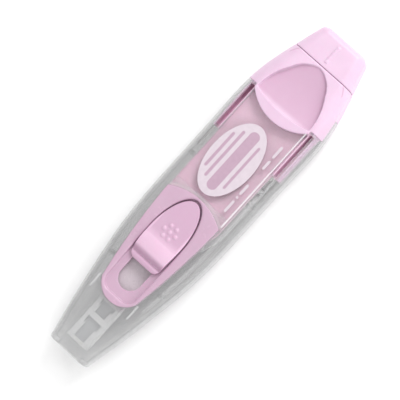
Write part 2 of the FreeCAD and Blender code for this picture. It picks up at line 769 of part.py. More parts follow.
def make_tail_form(outer, inner, tongue):
    """The tail before it is hollowed: its outer sleeve, the spigot in the case and the tongue on top."""
    sleeve_room = between("sleeve_room", "Sizes.shell_end", "Sizes.cap_seam - Sizes.seam_gap / 2")
    spigot_room = between("spigot_room", "Sizes.spigot_start", "Sizes.shell_end + 1")
    tongue_room = between("tongue_limit", "0", "Sizes.shell_end + 1")
    tongue_block = raised("tongue_block", tongue, "Sizes.tongue_low", ABOVE)
    return fused("tail_whole", [
        shared("sleeve", [outer, sleeve_room]),
        shared("spigot", [inner, spigot_room]),
        shared("tongue", [outer, tongue_block, tongue_room]),
    ])


def make_tail(outer, inner, tail_inner, tongue):
    whole = make_tail_form(outer, inner, tongue)
    hollow = crosswise(
        "rest_hollow", "Sizes.rest_radius", SIDES, "Sizes.rest_low_x", "Sizes.rest_low + Sizes.rest_radius",
    )
    rest_block = raised("rest_block", rest_outline(), "Sizes.rest_low - 1", ABOVE)
    rest = shared("thumb_rest", [rest_block, hollow])
    holder_hole = wide_box(
        "holder_hole", "Sizes.cap_seam - 5", "Sizes.cap_seam + 5",
        "Sizes.holder_half", "Sizes.holder_low", "Sizes.holder_high",
    )
    opened = less("tail_open", whole, [tail_inner, rest, holder_hole])
    sharp = fused("tail_sharp", [opened, make_arms(inner)])
    seam = size("cap_seam") - size("seam_gap") / 2
    part("tail_housing", rounded(
        "tail_housing", sharp, size("seam_round"), lambda edge: is_outer_ring(edge, seam),
    ))


def make_eraser():
    body = new_body("eraser")
    half = "Sizes.holder_half - Sizes.holder_wall"
    low = "Sizes.holder_low + Sizes.holder_wall"
    high = "Sizes.holder_high - Sizes.holder_wall"
    corners = [(f"-({half})", low), (half, low), (half, high), (f"-({half})", high)]
    section = polygon_sketch(body, "eraser_section", "YZ_Plane", corners)
    section.setExpression(".AttachmentOffset.Base.z", "Sizes.holder_front + Sizes.holder_wall")
    block = padded(body, section, "Sizes.eraser_rear - Sizes.holder_front - Sizes.holder_wall")
    doc.recompute()
    free_face = max(range(len(block.Shape.Faces)), key=lambda i: block.Shape.Faces[i].CenterOfMass.x)
    rounding = body.newObject("PartDesign::Fillet", "eraser_rounding")
    rounding.Base = (block, [f"Face{free_face + 1}"])
    rounding.setExpression("Radius", "Sizes.eraser_round")


def make_holder():
    """The sleeve that grips the eraser. Its rear end is the spigot that the cap is pushed on."""
    sleeve = wide_box(
        "holder_block", "Sizes.holder_front", "Sizes.holder_rear",
        "Sizes.holder_half", "Sizes.holder_low", "Sizes.holder_high",
    )
    bore = wide_box(
        "holder_bore", "Sizes.holder_front + Sizes.holder_wall", "Sizes.holder_rear + 1",
        "Sizes.holder_half - Sizes.holder_wall",
        "Sizes.holder_low + Sizes.holder_wall", "Sizes.holder_high - Sizes.holder_wall",
    )
    part("eraser_holder", less("eraser_holder", sleeve, [bore]))


def make_cap(outer):
    blank = shared("cap_blank", [outer, between("cap_length", "Sizes.cap_seam + Sizes.seam_gap / 2", ENDS)])
    end = size("length") / 2
    start = size("cap_seam") + size("seam_gap") / 2
    round_end = rounded(
        "cap_end_round", blank, size("cap_round"), lambda edge: edge.BoundBox.XMin > end - 0.01,
    )
    cap = rounded("cap_start_round", round_end, size("seam_round"), lambda edge: is_outer_ring(edge, start))
    play = "Sizes.cap_play"
    socket = wide_box(
        "cap_socket", "Sizes.cap_seam - 1", "Sizes.holder_rear + 0.3",
        f"Sizes.holder_half + {play}", f"Sizes.holder_low - {play}", f"Sizes.holder_high + {play}",
    )
    room = wide_box(
        "cap_room", "Sizes.cap_seam - 1", "Sizes.length / 2 - Sizes.cap_end_wall",
        "Sizes.holder_half - Sizes.holder_wall + 0.3",
        "Sizes.holder_low + Sizes.holder_wall - 0.3", "Sizes.holder_high - Sizes.holder_wall + 0.3",
    )
    swollen = fixed_shape("swollen_loft", form_loft(-size("ridge_height")))
    ridge = shared("cap_ridge", [swollen, wide_box(
        "ridge_limit", "Sizes.cap_seam + 1.7", "Sizes.cap_seam + 8", "Sizes.ridge_half", "10", ABOVE,
    )])
    part("end_cap", less("end_cap", fused("ridged_cap", [cap, ridge]), [socket, room]))


def make_badge():
    """The print on the panel: a plain oval."""
    middle = Vector(size("badge_x"), size("badge_y"), 0)
    oval = Part.Ellipse(middle, size("badge_half_length"), size("badge_half_width"))
    outline = flat_outline("badge_outline", [oval.toShape()])
    part("label_badge", raised(
        "label_badge", outline, "Sizes.panel_floor", "Sizes.panel_floor + Sizes.print_thickness",
    ))


# The sliding cassette.


def plate_corners():
    """The outline of the cassette's base and cover, narrower in front to clear the case."""
    side_front = "Sizes.plate_front + Sizes.plate_taper"
    half = [
        ("Sizes.plate_front", "Sizes.plate_front_half"),
        (side_front, "Sizes.plate_half"),
        ("Sizes.plate_rear", "Sizes.plate_half"),
    ]
    return half + [(x, f"-({y})") for x, y in reversed(half)]


def make_base():
    """The base plate with the reels' axles, the guide posts and the pillars that carry the cover."""
    body = new_body("carriage_base")
    outline = polygon_sketch(body, "base_outline", "XY_Plane", plate_corners())
    outline.setExpression(".AttachmentOffset.Base.z", "Sizes.plate_low")
    plate = padded(body, outline, "Sizes.plate_thickness")
    rounded_upright_edges(body, plate, "Sizes.plate_corner")
    top = "Sizes.plate_low + Sizes.plate_thickness"
    posts = [
        ("Sizes.supply_axle_radius", "Sizes.supply_x", "0"),
        ("Sizes.takeup_axle_radius", "Sizes.supply_x - Sizes.reel_distance", "0"),
        ("Sizes.guide_radius", "Sizes.guide_x", "Sizes.feed_guide_y"),
        ("Sizes.guide_radius", "Sizes.guide_x", "Sizes.return_guide_y"),
        *(("Sizes.pillar_radius", x, y) for x, y in PILLARS),
    ]
    tall = circle_sketch(body, "base_posts", top, posts)
    padded(body, tall, f"Sizes.cover_low - ({top})")
    short = circle_sketch(body, "idler_axle", top, [("Sizes.idler_axle_radius", *idler_centre())])
    padded(body, short, f"Sizes.gear_high - ({top})")


def make_cover():
    """The cover plate, with the hole that takes the button's peg and one over each axle."""
    body = new_body("carriage_cover")
    outline = polygon_sketch(body, "cover_outline", "XY_Plane", plate_corners())
    outline.setExpression(".AttachmentOffset.Base.z", "Sizes.cover_low")
    plate = padded(body, outline, "Sizes.cover_thickness")
    rounded_upright_edges(body, plate, "Sizes.plate_corner")
    hole = polygon_sketch(body, "peg_hole", "XY_Plane", [
        ("Sizes.peg_front", "-Sizes.peg_half"),
        ("Sizes.peg_rear", "-Sizes.peg_half"),
        ("Sizes.peg_rear", "Sizes.peg_half"),
        ("Sizes.peg_front", "Sizes.peg_half"),
    ])
    pocketed(body, hole)


def button_block():
    """The button's side profile, extruded across the pen."""
    front = size("button_front")
    low = size("button_low")

    def at(behind, z):
        return Vector(front + behind, -10, z)

    top = [Part.Arc(*(at(*point) for point in points)).toShape() for points in BUTTON_ARCS]
    start = at(*BUTTON_ARCS[0][0])
    end = at(*BUTTON_ARCS[-1][-1])
    corners = [end, Vector(end.x, end.y, low), Vector(start.x, start.y, low), start]
    rest = [Part.LineSegment(*ends).toShape() for ends in zip(corners, corners[1:])]
    profile = Part.Face(Part.Wire([*top, *rest]))
    return fixed_shape("button_profile", profile.extrude(Vector(0, 20, 0)))


def make_dots():
    """Grip dots: one in the middle and six round it."""
    dots = []
    for index in range(7):
        reach = 0 if index == 6 else 1
        dot = doc.addObject("Part::Sphere", f"grip_dot_{index}")
        dot.setExpression("Radius", "Sizes.dot_radius")
        turn = 60 * index + 30
        dot.setExpression("Placement.Base.x", f"Sizes.dot_x + {reach} * Sizes.dot_reach * cos({turn})")
        dot.setExpression("Placement.Base.y", f"{reach} * Sizes.dot_reach * sin({turn})")
        dot.setExpression("Placement.Base.z", "Sizes.dot_level")
        dots.append(dot)
    return dots


def make_button():
    """The thumb button: a side profile with a raised band, limited to the button's outline, and a peg."""
    plan = raised("button_plan", thumb_outline("button", 0.5), "Sizes.button_low", ABOVE)
    crown = shared("button_crown", [button_block(), plan])
    peg = wide_box(
        "button_peg", "Sizes.peg_front", "Sizes.peg_rear", "Sizes.peg_half",
        "Sizes.peg_low", "Sizes.button_low + 0.2",
    )
    part("thumb_button", fused("thumb_button", [crown, peg, *make_dots()]))


def guard_outline():
    """The guard over the tape: as narrow as the fences in front, and wider behind."""
    front = size("guard_front")
    rear = size("guard_rear")
    wide_from = front + size("guard_taper")
    slim = size("fence_outer")
    wide = size("guard_half")
    points = mirrored([(front, slim), (wide_from, wide), (rear, wide)])
    following = points[1:] + points[:1]
    return flat_outline("guard_outline", [line(*ends) for ends in zip(points, following)])


def make_lips():
    """Lips on top of the fences that keep the tape down."""
    top = "Sizes.tape_level + Sizes.fence_half_height"
    blocks = [
        wide_box(f"lip_{number}", front, rear, "Sizes.fence_outer", "Sizes.lip_low", top)
        for number, (front, rear) in enumerate(LIPS)
    ]
    room = wide_box("lip_room", "Sizes.tip_x - 5", "-30", "Sizes.lip_inner", "0", ABOVE)
    return less("lips", fused("lip_blocks", blocks), [room])


def make_head():
    """The tape head: a spine between two fences, a bar across them and a guard over the tape."""
    level = "Sizes.tape_level"
    half = "Sizes.fence_half_height"
    outer = wide_box(
        "fence_block", "Sizes.tip_x", "Sizes.fence_rear", "Sizes.fence_outer",
        f"{level} - {half}", f"{level} + {half}",
    )
    nose = crosswise("fence_nose", half, "Sizes.fence_outer", "Sizes.tip_x + 0.9", level)
    ears = wide_box(
        "head_ears", "Sizes.guard_front", "Sizes.fence_rear", "Sizes.fence_outer",
        f"{level} - {half}", "Sizes.guard_high",
    )
    gap = wide_box("fence_gap", "Sizes.tip_x - 5", "-30", "Sizes.fence_inner", "0", "Sizes.guard_low")
    pin_hole = crosswise("tip_pin_hole", "Sizes.tip_pin_radius", "5", "Sizes.tip_x", level)
    ahead = wide_box(
        "ahead_of_fences", "Sizes.tip_x - 5", "Sizes.tip_x - Sizes.fence_reach",
        "Sizes.fence_outer + 1", "0", ABOVE,
    )
    fences = less("fences", fused("fence_whole", [outer, nose, ears]), [gap, pin_hole, ahead])
    spine = wide_box(
        "head_spine", "Sizes.tip_x + Sizes.tip_radius + 0.5", "Sizes.fence_rear", "Sizes.fence_inner",
        f"{level} - Sizes.spine_half_height", f"{level} + Sizes.spine_half_height",
    )
    bar = wide_box(
        "head_bar", "Sizes.bar_x", "Sizes.bar_x + Sizes.bar_width", "Sizes.fence_outer",
        f"{level} + {half} - 0.5", f"{level} + {half} + 0.3",
    )
    guard = raised("guard_block", guard_outline(), "Sizes.guard_low", "Sizes.guard_high")
    post_holes = [
        upright(f"guard_hole_{y}", "Sizes.guide_radius", "10", "13", "Sizes.guide_x", f"Sizes.{y}")
        for y in ("feed_guide_y", "return_guide_y")
    ]
    whole = fused("head_whole", [fences, spine, bar, guard, make_lips()])
    part("tape_head", less("tape_head", whole, post_holes))


def make_tip():
    level = "Sizes.tape_level"
    solid = crosswise("tip_solid", "Sizes.tip_radius", "Sizes.fence_inner - 0.1", "Sizes.tip_x", level)
    bore = crosswise("tip_bore", "Sizes.tip_pin_radius + Sizes.running_gap", "5", "Sizes.tip_x", level)
    part("tip_roller", less("tip_roller", solid, [bore]))
    part("tip_pin", crosswise("tip_pin", "Sizes.tip_pin_radius", "Sizes.fence_outer", "Sizes.tip_x", level))


def strip_section(x, y, z, turn):
    """A cut through the tape at x. Turn 0 lies flat, and turn 90 stands on edge."""
    angle = math.radians(turn)
    along = Vector(0, math.cos(angle), math.sin(angle)) * (size("tape_width") / 2)
    through = Vector(0, -math.sin(angle), math.cos(angle)) * (size("tape_thickness") / 2)
    middle = Vector(x, y, z)
    front = [middle - along - through, middle + along - through]
    back = [middle + along + through, middle - along + through]
    return Part.makePolygon(front + back + front[:1])


def strand(name, reel_end, bend, side):
    """Tape from a reel past a guide post, twisted flat, and along the head to the tip."""
    level = size("tape_level")
    reach = size("tip_radius") + size("tip_play") + size("tape_thickness") / 2
    head = (size("fence_rear"), 0.0, level + side * reach)
    steps = 9  # sections between the guide post and the head
    stations = [(*reel_end, level, 90)]
    for step in range(steps + 1):
        share = step / steps
        ease = share * share * (3 - 2 * share)
        x = bend[0] + share * (head[0] - bend[0])
        y = bend[1] + share * (head[1] - bend[1])
        z = level + ease * (head[2] - level)
        stations.append((x, y, z, 90 - 90 * ease))
    stations.append((size("tip_x"), 0.0, head[2], 0))
    return fixed_shape(name, Part.makeLoft([strip_section(*station) for station in stations], True, True))


def make_strands():
    """The fresh tape runs under the spine to the tip, turns round it and comes back over the spine."""
    play = 0.02
    off_roll = 0.25
    clear = size("guide_radius") + size("tape_thickness") / 2 + play
    guide_x = size("guide_x")
    supply_side = size("supply_tape_radius") + off_roll
    feed_run = strand(
        "feed_run",
        (size("supply_x"), supply_side),
        (guide_x - 0.4, size("feed_guide_y") + clear),
        -1,
    )
    wrap_radius = "Sizes.tip_radius + Sizes.tip_play"
    wrap_outer = crosswise(
        "wrap_outer", f"{wrap_radius} + Sizes.tape_thickness", "Sizes.tape_width / 2",
        "Sizes.tip_x", "Sizes.tape_level",
    )
    wrap_inner = crosswise("wrap_inner", wrap_radius, "5", "Sizes.tip_x", "Sizes.tape_level")
    behind = wide_box("behind_tip", "Sizes.tip_x", "Sizes.tip_x + 5", "5", "0", "20")
    wrap = less("tip_wrap", wrap_outer, [wrap_inner, behind])
    part("tape_feed", fused("tape_feed", [feed_run, wrap]))
    takeup_x = size("supply_x") - size("reel_distance")
    return_run = strand(
        "tape_return",
        (takeup_x, -size("takeup_tape_radius") - off_roll),
        (guide_x - 0.4, size("return_guide_y") - clear),
        1,
    )
    part("tape_return", return_run)


# The reels and the gear train.


def make_reel(kind, x, flange_radius, core_radius, tape_radius, axle_radius):
    """A core with its lower flange, a separate upper disc and the tape between them."""
    bore = f"{axle_radius} + Sizes.running_gap"
    flange_top = "Sizes.flange_low + Sizes.flange"
    disc_top = "Sizes.disc_low + Sizes.flange"
    revolved(f"{kind}_spool", [
        (bore, "Sizes.flange_low"),
        (flange_radius, "Sizes.flange_low"),
        (flange_radius, flange_top),
        (core_radius, flange_top),
        (core_radius, "Sizes.disc_low"),
        ("Sizes.neck_radius", "Sizes.disc_low"),
        ("Sizes.neck_radius", disc_top),
        (bore, disc_top),
    ], x)
    revolved(f"{kind}_disc", [
        ("Sizes.neck_radius", "Sizes.disc_low"),
        (flange_radius, "Sizes.disc_low"),
        (flange_radius, disc_top),
        ("Sizes.neck_radius", disc_top),
    ], x)
    revolved(f"{kind}_tape", [
        (core_radius, "Sizes.tape_level - Sizes.tape_width / 2"),
        (tape_radius, "Sizes.tape_level - Sizes.tape_width / 2"),
        (tape_radius, "Sizes.tape_level + Sizes.tape_width / 2"),
        (core_radius, "Sizes.tape_level + Sizes.tape_width / 2"),
    ], x)


def idler_offset():
    """The idler's axis from the full reel's, so that it meshes with both gears."""
    pitch = size("gear_module") / 2
    to_supply = pitch * (size("supply_teeth") + size("idler_teeth"))
    to_takeup = pitch * (size("takeup_teeth") + size("idler_teeth"))
    apart = size("reel_distance")
    along = (apart ** 2 + to_supply ** 2 - to_takeup ** 2) / (2 * apart)
    return along, math.sqrt(to_supply ** 2 - along ** 2)


def idler_centre():
    along, aside = idler_offset()
    return f"Sizes.supply_x - {along:.6f}", f"-{aside:.6f}"


def gear_profile(teeth):
    """An outline with stub teeth, thinned a little for backlash. One tooth points along +X."""
    builder = fcgear.FCWireBuilder()
    involute.CreateExternalGear(
        builder, size("gear_module"), int(teeth), TOOTH["angle"], False,
        TOOTH["tip"], TOOTH["root"], TOOTH["fillet"], TOOTH["backlash"],
    )
    return Part.Face(Part.Wire([edge.toShape() for edge in builder.wire]))


def gear(kind, turn, x, y, top):
    """One gear of the train on its axle, turned so that it is in mesh at rest."""
    outline = fixed_shape(f"{kind}_outline", gear_profile(size(f"{kind}_teeth")))
    blank = raised(f"{kind}_blank", outline, "Sizes.gear_low", top)
    blank.Placement.Rotation = Rotation(Vector(0, 0, 1), turn)
    blank.setExpression("Placement.Base.x", x)
    blank.setExpression("Placement.Base.y", y)
    bore = f"Sizes.{kind}_axle_radius + Sizes.running_gap"
    hole = upright(f"{kind}_bore", bore, "0", "10", x, y)
    return less(f"{kind}_gear_turned", blank, [hole])


def mesh_turn(turn, teeth, next_teeth, heading):
    """The turn of the next gear, which puts its gap where this gear has a tooth. Angles in degrees."""
    share = (heading - turn) * teeth / 360
    return heading + 180 - (0.5 - share) * 360 / next_teeth


def gear_turns():
    """The turns of the idler and of the take-up gear that mesh with the full reel's gear at turn 0."""
    along, aside = idler_offset()
    to_idler = math.degrees(math.atan2(-aside, -along))
    to_takeup = math.degrees(math.atan2(aside, along - size("reel_distance")))
    supply, idler, takeup = (size(f"{kind}_teeth") for kind in ("supply", "idler", "takeup"))
    idler_turn = mesh_turn(0, supply, idler, to_idler)
    return idler_turn, mesh_turn(idler_turn, idler, takeup, to_takeup)


def make_clutch():
    """The groove in the full reel's gear and the slipping ring that lies in it."""
    half = "Sizes.clutch_groove / 2"
    groove_low = "Sizes.clutch_level - Sizes.clutch_section"
    groove = less(
        "clutch_groove_ring",
        upright("groove_outer", f"Sizes.clutch_radius + {half}", groove_low, "10", "Sizes.supply_x"),
        [upright("groove_inner", f"Sizes.clutch_radius - {half}", "0", "12", "Sizes.supply_x")],
    )
    ring = doc.addObject("Part::Torus", "clutch_ring")
    ring.setExpression("Radius1", "Sizes.clutch_radius")
    ring.setExpression("Radius2", "Sizes.clutch_section")
    ring.setExpression("Placement.Base.x", "Sizes.supply_x")
    ring.setExpression("Placement.Base.z", "Sizes.clutch_level")
    return groove, ring


def make_gears():
    idler_turn, takeup_turn = gear_turns()
    groove, ring = make_clutch()
    supply_blank = gear("supply", 0, "Sizes.supply_x", "0", "Sizes.gear_high")
    part("supply_gear", less("supply_gear", supply_blank, [groove]))
    part("idler_gear", gear("idler", idler_turn, *idler_centre(), "Sizes.gear_high"))
    takeup_x = "Sizes.supply_x - Sizes.reel_distance"
    part("takeup_gear", gear("takeup", takeup_turn, takeup_x, "0", "Sizes.flange_low"))
    part("clutch_ring", ring)


def make_reels():
    make_reel(
        "supply", "Sizes.supply_x", "Sizes.supply_flange_radius", "Sizes.supply_core_radius",
        "Sizes.supply_tape_radius", "Sizes.supply_axle_radius",
    )
    make_reel(
        "takeup", "Sizes.supply_x - Sizes.reel_distance", "Sizes.takeup_flange_radius",
        "Sizes.takeup_core_radius", "Sizes.takeup_tape_radius", "Sizes.takeup_axle_radius",
    )


def check_document():
    """Stops before anything is written if an object failed or a sub-part has no sound shape."""
    doc.recompute()
    failed = [item.Name for item in doc.Objects if {"Invalid", "Error"} & set(item.State)]
    assert not failed, f"failed objects: {failed}"
    for item in parts:
        assert not item.Shape.isNull() and item.Shape.isValid(), f"bad shape: {item.Label}"
        assert item.Shape.Solids, f"no solid: {item.Label}"


def write_parts():
    os.makedirs("parts", exist_ok=True)
    for item in parts:
        item.Shape.exportStep(f"parts/{item.Label}.step")
        print(f"{item.Label}: {len(item.Shape.Solids)} solid, {item.Shape.Volume:.1f} mm3")


def build():
    outer, inner, tail_inner = form_solids()
    panel = panel_outline()
    tongue = tongue_outline()
    bezel_block = raised("bezel_block", bezel_outline(), "Sizes.bezel_low", ABOVE)
    make_shells(outer, inner, bezel_block, panel, tongue)
    make_bezel(outer, bezel_block)
    make_tail(outer, inner, tail_inner, tongue)
    make_holder()
    make_eraser()
    make_cap(outer)
    make_badge()
    make_base()
    make_cover()
    make_button()
    make_head()
    make_tip()
    make_strands()
    make_reels()
    make_gears()
    check_document()
    write_parts()


build()
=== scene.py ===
import math

import bmesh
import bpy
from mathutils import Matrix, Vector


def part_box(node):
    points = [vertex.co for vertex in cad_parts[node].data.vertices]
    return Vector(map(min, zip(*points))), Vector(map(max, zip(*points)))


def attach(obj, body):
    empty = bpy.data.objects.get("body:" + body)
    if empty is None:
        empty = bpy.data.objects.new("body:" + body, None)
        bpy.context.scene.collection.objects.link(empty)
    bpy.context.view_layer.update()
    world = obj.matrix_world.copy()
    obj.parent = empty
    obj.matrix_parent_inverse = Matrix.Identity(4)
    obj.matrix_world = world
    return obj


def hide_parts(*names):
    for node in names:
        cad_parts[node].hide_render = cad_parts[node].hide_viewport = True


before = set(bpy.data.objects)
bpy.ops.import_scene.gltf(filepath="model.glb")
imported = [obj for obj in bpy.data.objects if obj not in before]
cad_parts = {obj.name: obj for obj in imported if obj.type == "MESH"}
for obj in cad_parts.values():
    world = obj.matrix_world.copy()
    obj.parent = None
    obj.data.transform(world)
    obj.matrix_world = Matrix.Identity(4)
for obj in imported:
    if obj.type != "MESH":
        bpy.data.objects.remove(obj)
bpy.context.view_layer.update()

# A pen style correction tape roller on a white table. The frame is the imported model: metres, X
# along the pen from the nose to the tail cap, Z up through the thumb button.

MM = 0.001

# The camera looks down on the pen, a little from its -Y side, and is rolled so that the tail points
# up and to the right.
CAMERA_TILT = math.radians(11)
CAMERA_ROLL = math.radians(47.8)
CAMERA_DISTANCE = 0.9
CAMERA_LENS = 255
CAMERA_AIM = Vector((-2.16 * MM, 1.41 * MM, 8.8 * MM))

# Colours of the plastics, as they look in even white light, with the painted light and shade
# that some of them carry.
# Painted shade and light: the bezel and the button are one pink plastic, drawn darker on the bezel
# and lighter on the button.
BEZEL_SHADED_PINK = "#C6A6BB"
BUTTON_LIT_PINK = "#DDBAD1"
TAIL_PINK = "#D9BCD2"
# The pad pink darkens the button's sloping pad and the thumb rest's hollow; on the button's front
# step it is painted shade.
PAD_AND_SHADE_PINK = "#C9A5BD"
# Painted light: the lighter pink in the tail's arm channels, against the shade in them.
CHANNEL_LIT_PINK = "#EAC6DA"
CASSETTE_PINK = "#F6D0E3"
PRINT_PALE = "#D3C6CF"
PRINT_MARK = "#BA9CAF"
# Painted highlight: the white laid on thin lines of the clear case where glints of light fall.
PAINTED_HIGHLIGHT_WHITE = (0.95, 0.93, 0.95, 1.0)
TABLE_DIM = (0.97, 0.97, 0.97, 1.0)
TABLE_BRIGHT = (0.99, 0.99, 0.99, 1.0)

# Places on the case, in millimetres. Each pair is a lower and an upper limit, along X, across from
# the pen's middle or up.
PANEL_FRONT = (-1.4, -0.8)
PANEL_SIDE = (10.7, 11.2)
CLEARER_TO_THE_REAR = (8.0, 20.0)
PANEL_RIB_ACROSS, PANEL_RIB_ALONG = (10.78, 11.18), (-4.0, 36.0)
RIDGE_ACROSS, RIDGE_ALONG = (-1.0, 10.7), (-1.9, -0.8)
TOP_FACE = (15.8, 16.1)
BEZEL_RIB_ACROSS, BEZEL_RIB_ALONG = (7.85, 8.25), (-45.4, -40.2)
BEZEL_RIB_LEVEL = (13.5, 14.0)

# How the ridge between the bezel and the panel curves: x falls by this times y squared, in metres.
RIDGE_BOW = 27.3

# Where the tape head ends behind its fences, in millimetres along X.
HEAD_REAR = (-46.5, -44.5)

# The button, in millimetres: its sloping pad, the pad's grip dots and the groove before its band.
PAD_START, PAD_TOP, PAD_FALL = -20.3, 17.15, 0.058
DOT_X, DOT_REACH, DOT_RADIUS, DOT_RISE = -16.2, 2.3, 0.85, 0.3
GROOVE_X, GROOVE_WIDTH, GROOVE_DEPTH = -27.4, 0.55, 0.4

# The thumb rest's hollow in the tail, a cylinder across the pen, in millimetres.
REST_X, REST_Z, REST_RADIUS = 48.0, 52.1, 38.0

# The channels along the tail's arms, in millimetres: their rear end, sides and floor.
CHANNEL_END, CHANNEL_SIDES, CHANNEL_FLOOR = 36.6, (11.5, 13.55), 9.0

# The print, in millimetres. A bar on the oval has its ends along X, its sides across the pen and
# its corner radius. A dash below the oval has its ends along X.
PRINT_THICKNESS = 0.03
OVAL_BARS = {
    "print_line_1": (7.0, 21.0, 6.0, 7.0, 0.5),
    "print_line_2": (4.6, 23.4, 3.8, 4.8, 0.5),
    "print_stripe": (2.4, 25.6, -1.2, 2.4, 1.7),
    "print_line_3": (5.4, 22.6, -3.4, -2.5, 0.45),
}
DASHES = [(0.2, 4.9), (5.9, 6.7), (7.5, 11.6), (18.2, 21.8), (22.9, 27.6)]
DASH_ACROSS, DASH_RADIUS = (-8.6, -7.7), 0.4

# Faces that meet at more than this angle, in degrees, keep a sharp edge between them.
SHARP_ANGLE = 32

# The studio: the world's strength, and each lamp's place in metres to the camera's right, above and
# towards it, with its width, height and power in watts.
WORLD_STRENGTH = 0.84
LAMPS = {
    "key": (0.36, 0.52, 0.55, 0.35, 0.35, 3.9),
    "fill": (0.42, -0.38, 0.45, 0.5, 0.4, 1.3),
}
TABLE_HALF_WIDTH = 3.0


def linear(colour):
    """A colour written #RRGGBB, as linear light with full alpha."""
    shares = [int(colour[start:start + 2], 16) / 255 for start in (1, 3, 5)]
    light = [
        share / 12.92 if share <= 0.04045 else ((share + 0.055) / 1.055) ** 2.4 for share in shares
    ]
    return (*light, 1.0)


def scaled(colour, share):
    """A linear colour made lighter or darker."""
    return (*(min(1.0, part * share) for part in colour[:3]), 1.0)


# Shader node helpers.


def add(tree, kind, settings=None, **inputs):
    """A node with its settings, and with inputs that are values or other nodes' outputs."""
    node = tree.nodes.new(kind)
    for name, value in (settings or {}).items():
        setattr(node, name, value)
    for name, value in inputs.items():
        put(tree, node.inputs[name.replace("_", " ")], value)
    return node


def put(tree, socket, value):
    """Gives a socket its value, or links another node's output to it."""
    if isinstance(value, bpy.types.NodeSocket):
        tree.links.new(value, socket)
    else:
        socket.default_value = value


def maths(tree, operation, *values):
    """The output of a Math node."""
    node = tree.nodes.new("ShaderNodeMath")
    node.operation = operation
    for socket, value in zip(node.inputs, values):
        put(tree, socket, value)
    return node.outputs[0]


def times(tree, first, second):
    return maths(tree, "MULTIPLY", first, second)


def plus(tree, first, second):
    return maths(tree, "ADD", first, second)


def larger(tree, first, second):
    return maths(tree, "MAXIMUM", first, second)


def blended(tree, share, first, second):
    """Two colours mixed by a share from 0 to 1."""
    node = tree.nodes.new("ShaderNodeMix")
    node.data_type = "RGBA"
    put(tree, node.inputs[0], share)
    put(tree, node.inputs[6], first)
    put(tree, node.inputs[7], second)
    return node.outputs[2]


def ranged(tree, value, low, high, to_low=0.0, to_high=1.0):
    """A value moved from one range to another, and kept inside it."""
    node = add(tree, "ShaderNodeMapRange", {"clamp": True}, Value=value)
    limits = {"From Min": low, "From Max": high, "To Min": to_low, "To Max": to_high}
    for name, number in limits.items():
        node.inputs[name].default_value = number
    return node.outputs[0]


def place(tree, stretch=(1, 1, 1), centre=(0, 0, 0)):
    """Positions on the object in metres, stretched about a centre."""
    coordinates = tree.nodes.new("ShaderNodeTexCoord").outputs["Object"]
    mapping = add(tree, "ShaderNodeMapping", Vector=coordinates, Scale=stretch)
    mapping.inputs["Location"].default_value = [-c * s for c, s in zip(centre, stretch)]
    return mapping.outputs[0]


def noise(tree, feature, detail=2.0, stretch=(1, 1, 1), seed=0.0):
    """Noise from 0 to 1 with features of a size in metres."""
    where = place(tree, stretch, (seed, seed, seed))
    node = add(
        tree, "ShaderNodeTexNoise", Vector=where, Scale=1 / feature, Detail=detail, Roughness=0.55,
    )
    return node.outputs["Fac"]


def cells(tree, feature):
    """Distance from the middle of the nearest cell, for cells of a size in metres."""
    node = add(tree, "ShaderNodeTexVoronoi", Vector=place(tree), Scale=1 / feature)
    return node.outputs["Distance"]


def bumped(tree, heights, normal=None):
    """Bumps laid over each other. Each is a height socket with its depth in metres and strength."""
    for height, depth, strength in heights:
        node = add(tree, "ShaderNodeBump", Height=height, Distance=depth, Strength=strength)
        if normal is not None:
            tree.links.new(normal, node.inputs["Normal"])
        normal = node.outputs[0]
    return normal


def scratches(tree, seed, stretch=(0.12, 1, 1), width=0.42 * MM):
    """Thin lines along the pen, from 0 to 1, strongest where a slow noise allows them."""
    lines = noise(tree, width, 0.0, stretch, seed)
    off = maths(tree, "ABSOLUTE", maths(tree, "SUBTRACT", lines, 0.5))
    thin = ranged(tree, off, 0.0, 0.012, 1.0, 0.0)
    patches = ranged(tree, noise(tree, 6 * MM, 1.0, seed=seed + 0.3), 0.52, 0.66)
    return times(tree, thin, patches)


def edge_wear(tree, low=0.52, high=0.62):
    """From 0 on flats and hollows to 1 on outer edges, broken up by noise."""
    pointed = tree.nodes.new("ShaderNodeNewGeometry").outputs["Pointiness"]
    edge = ranged(tree, pointed, low, high)
    broken = ranged(tree, noise(tree, 1.1 * MM, 3.0, seed=0.7), 0.35, 0.65, 0.35, 1.0)
    return times(tree, edge, broken)


def step(tree, value, limits, before=0.0, after=1.0):
    """One share before two limits in millimetres and another after them."""
    return ranged(tree, value, limits[0] * MM, limits[1] * MM, before, after)


def within(tree, value, limits, soft):
    """1 between two limits in millimetres, with soft ends."""
    low, high = limits
    rise = step(tree, value, (low - soft, low))
    return times(tree, rise, step(tree, value, (high, high + soft), 1.0, 0.0))


def patch(tree, first, first_limits, first_soft, second, second_limits, second_soft):
    """1 where two values are both between their limits."""
    share = within(tree, first, first_limits, first_soft)
    return times(tree, share, within(tree, second, second_limits, second_soft))


